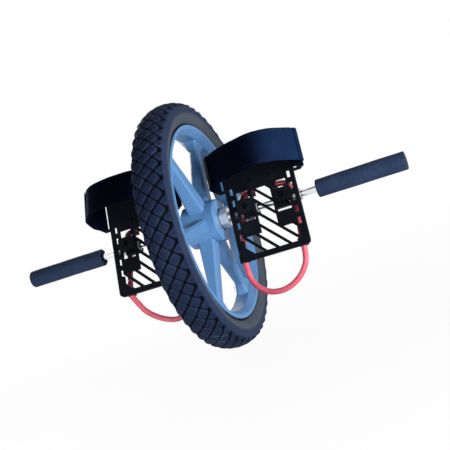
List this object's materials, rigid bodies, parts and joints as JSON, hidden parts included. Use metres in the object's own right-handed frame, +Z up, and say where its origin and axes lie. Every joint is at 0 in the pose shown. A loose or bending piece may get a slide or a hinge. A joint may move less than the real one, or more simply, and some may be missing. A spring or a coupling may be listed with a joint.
{
  "type": "ab wheel roller",
  "caption": "Exercise roller with a tyred spoked wheel on a rod, a foam grip at each end, and swinging strapped foot plates with heel tubes beside the wheel.",
  "frame": {"origin": "the wheel's centre on the axle, which is the centre of the bounding box", "axes": "+X along the axle to the right-hand grip, +Z up, and the foot sides of the plates towards -Y"},
  "size_m": [0.573, 0.35, 0.35],
  "materials": {
    "chromed_steel": "bright plated",
    "plain_steel": "satin zinc",
    "bearing_steel": "ground",
    "seal_rubber": "matt",
    "wheel_plastic": "satin moulded blue-grey",
    "tyre_rubber": "matt black",
    "grip_foam": "closed-cell foam",
    "black_plastic": "satin moulded",
    "nylon": "natural nylon",
    "strap_webbing": "woven nylon",
    "tube_rubber": "smooth latex tube"
  },
  "bodies": {
    "axle": {"axle_rod": "chromed_steel", "hub_spacer_tube": "plain_steel", "collar_grub_screws": "plain_steel", "right_grip_foam": "grip_foam", "right_grip_sleeve": "black_plastic", "right_grip_end_plug": "black_plastic", "right_hub_nut": "chromed_steel", "right_pedal_spacer": "plain_steel", "right_outer_spacer": "plain_steel", "right_clamp_collar": "plain_steel", "right_bearing_inner_race": "bearing_steel", "left_grip_foam": "grip_foam", "left_grip_sleeve": "black_plastic", "left_grip_end_plug": "black_plastic", "left_hub_nut": "chromed_steel", "left_pedal_spacer": "plain_steel", "left_outer_spacer": "plain_steel", "left_clamp_collar": "plain_steel", "left_bearing_inner_race": "bearing_steel"},
    "wheel": {"mag_wheel": "wheel_plastic", "tyre": "tyre_rubber", "right_bearing_outer_race": "bearing_steel", "right_bearing_balls": "bearing_steel", "right_bearing_seal": "seal_rubber", "left_bearing_outer_race": "bearing_steel", "left_bearing_balls": "bearing_steel", "left_bearing_seal": "seal_rubber"},
    "right_pedal": {"right_foot_plate": "black_plastic", "right_inner_bush": "nylon", "right_outer_bush": "nylon", "right_toe_strap": "strap_webbing", "right_heel_tube_loop": "tube_rubber", "right_heel_tube_outer_leg": "tube_rubber", "right_heel_tube_inner_leg": "tube_rubber"},
    "left_pedal": {"left_foot_plate": "black_plastic", "left_inner_bush": "nylon", "left_outer_bush": "nylon", "left_toe_strap": "strap_webbing", "left_heel_tube_loop": "tube_rubber", "left_heel_tube_outer_leg": "tube_rubber", "left_heel_tube_inner_leg": "tube_rubber"}
  },
  "joints": [
    {"name": "wheel_spin", "type": "hinge", "parent": "axle", "child": "wheel", "pos_m": [0, 0, 0], "axis": [1, 0, 0], "continuous": true},
    {"name": "right_pedal_swing", "type": "hinge", "parent": "axle", "child": "right_pedal", "pos_m": [0, 0, 0], "axis": [1, 0, 0], "continuous": true},
    {"name": "left_pedal_swing", "type": "hinge", "parent": "axle", "child": "left_pedal", "pos_m": [0, 0, 0], "axis": [1, 0, 0], "continuous": true}
  ]
}
